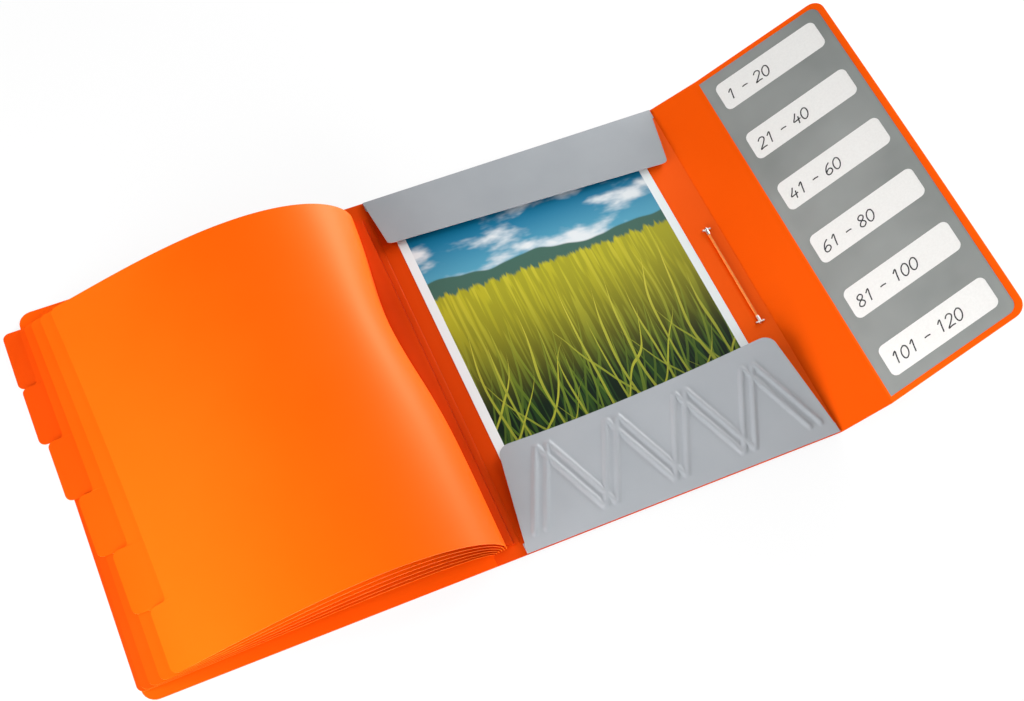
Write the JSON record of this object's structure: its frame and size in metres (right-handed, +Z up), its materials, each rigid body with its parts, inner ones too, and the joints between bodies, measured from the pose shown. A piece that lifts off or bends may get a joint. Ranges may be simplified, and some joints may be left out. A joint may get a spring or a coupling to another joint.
{
  "type": "multi-compartment file",
  "caption": "Open document file: creased plastic cover with arched tabbed dividers, inner flaps that hold a sheet, an elastic and a closing flap with an index card.",
  "frame": {"origin": "centre of the back panel's outside face, on the table", "axes": "+X across the open file from the front cover to the closing flap, +Y from its bottom edge to its top edge, +Z up"},
  "size_m": [0.6741, 0.317, 0.0962],
  "materials": {
    "cover_sheet": "glossy orange polypropylene",
    "divider_sheet": "glossy orange polypropylene",
    "binding": "satin deep orange polypropylene",
    "index_card": "grey card",
    "label_paper": "white paper",
    "grey_sheet": "satin grey polypropylene",
    "elastic": "woven elastic",
    "metal_end": "bright metal",
    "printed_paper": "printed paper"
  },
  "bodies": {
    "back": {"back_panel": "cover_sheet", "top_flap_strip": "grey_sheet", "bottom_flap_strip": "grey_sheet", "elastic_cord": "elastic", "elastic_end_upper": "metal_end", "elastic_end_lower": "metal_end"},
    "spine": {"spine_panel": "cover_sheet", "binding_margin": "binding"},
    "front": {"front_cover": "cover_sheet"},
    "binding": {"binding_strip": "binding", "divider_foot_1": "binding", "divider_foot_2": "binding", "divider_foot_3": "binding", "divider_foot_4": "binding", "divider_foot_5": "binding", "divider_foot_6": "binding"},
    "divider_1": {"divider_1": "divider_sheet"},
    "divider_2": {"divider_2": "divider_sheet"},
    "divider_3": {"divider_3": "divider_sheet"},
    "divider_4": {"divider_4": "divider_sheet"},
    "divider_5": {"divider_5": "divider_sheet"},
    "divider_6": {"divider_6": "divider_sheet"},
    "gusset": {"gusset_panel": "cover_sheet"},
    "closing_flap": {"closing_flap": "cover_sheet", "index_card": "index_card", "label_1": "label_paper", "label_2": "label_paper", "label_3": "label_paper", "label_4": "label_paper", "label_5": "label_paper", "label_6": "label_paper"},
    "top_flap": {"top_flap": "grey_sheet"},
    "bottom_flap": {"bottom_flap": "grey_sheet"},
    "sheet": {"printed_sheet": "printed_paper"}
  },
  "joints": [
    {"name": "spine_fold", "type": "hinge", "parent": "back", "child": "spine", "pos_m": [-0.1255, 0, 0.0004], "axis": [0, -1, 0], "range_deg": [-58, 0]},
    {"name": "front_cover_fold", "type": "hinge", "parent": "spine", "child": "front", "pos_m": [-0.1465, 0, 0.0004], "axis": [0, -1, 0], "range_deg": [-58, 0]},
    {"name": "binding_fold", "type": "hinge", "parent": "spine", "child": "binding", "pos_m": [-0.1305, 0, 0.00115], "axis": [0, -1, 0], "range_deg": [-58, 0]},
    {"name": "divider_6_turn", "type": "hinge", "parent": "binding", "child": "divider_6", "pos_m": [-0.137, 0, 0.00445], "axis": [0, 1, 0], "range_deg": [0, 66]},
    {"name": "divider_5_turn", "type": "hinge", "parent": "binding", "child": "divider_5", "pos_m": [-0.1388, 0, 0.0039], "axis": [0, 1, 0], "range_deg": [0, 55]},
    {"name": "divider_4_turn", "type": "hinge", "parent": "binding", "child": "divider_4", "pos_m": [-0.1406, 0, 0.00335], "axis": [0, 1, 0], "range_deg": [0, 44]},
    {"name": "divider_3_turn", "type": "hinge", "parent": "binding", "child": "divider_3", "pos_m": [-0.1424, 0, 0.0028], "axis": [0, 1, 0], "range_deg": [0, 33]},
    {"name": "divider_2_turn", "type": "hinge", "parent": "binding", "child": "divider_2", "pos_m": [-0.1442, 0, 0.00225], "axis": [0, 1, 0], "range_deg": [0, 22]},
    {"name": "divider_1_turn", "type": "hinge", "parent": "binding", "child": "divider_1", "pos_m": [-0.146, 0, 0.0017], "axis": [0, 1, 0], "range_deg": [0, 11]},
    {"name": "gusset_fold", "type": "hinge", "parent": "back", "child": "gusset", "pos_m": [0.1255, 0, 0.0004], "axis": [0, -1, 0], "range_deg": [-22, 60], "stiffness_Nm_per_rad": 0.15, "springref_deg": 15.3},
    {"name": "closing_flap_fold", "type": "hinge", "parent": "gusset", "child": "closing_flap", "pos_m": [0.16341, 0, 0.01848], "axis": [0, -1, 0], "range_deg": [-4, 80], "stiffness_Nm_per_rad": 0.08, "springref_deg": 15.3},
    {"name": "top_flap_fold", "type": "hinge", "parent": "back", "child": "top_flap", "pos_m": [0, 0.1581, 0.0018], "axis": [-1, 0, 0], "range_deg": [-2.5, 165], "stiffness_Nm_per_rad": 0.012, "springref_deg": 8.19},
    {"name": "bottom_flap_fold", "type": "hinge", "parent": "back", "child": "bottom_flap", "pos_m": [0, -0.1581, 0.0018], "axis": [1, 0, 0], "range_deg": [-3.5, 165], "stiffness_Nm_per_rad": 0.03, "springref_deg": 10.89},
    {"name": "sheet_slide", "type": "slide", "parent": "back", "child": "sheet", "axis": [1, 0, 0], "range_m": [-0.011, 0.011]}
  ],
  "couplings": [
    {"joint": "binding_fold", "follows": "front_cover_fold", "ratio": 1},
    {"joint": "divider_5_turn", "follows": "divider_6_turn", "ratio": 0.83333},
    {"joint": "divider_4_turn", "follows": "divider_6_turn", "ratio": 0.66667},
    {"joint": "divider_3_turn", "follows": "divider_6_turn", "ratio": 0.5},
    {"joint": "divider_2_turn", "follows": "divider_6_turn", "ratio": 0.33333},
    {"joint": "divider_1_turn", "follows": "divider_6_turn", "ratio": 0.16667}
  ]
}
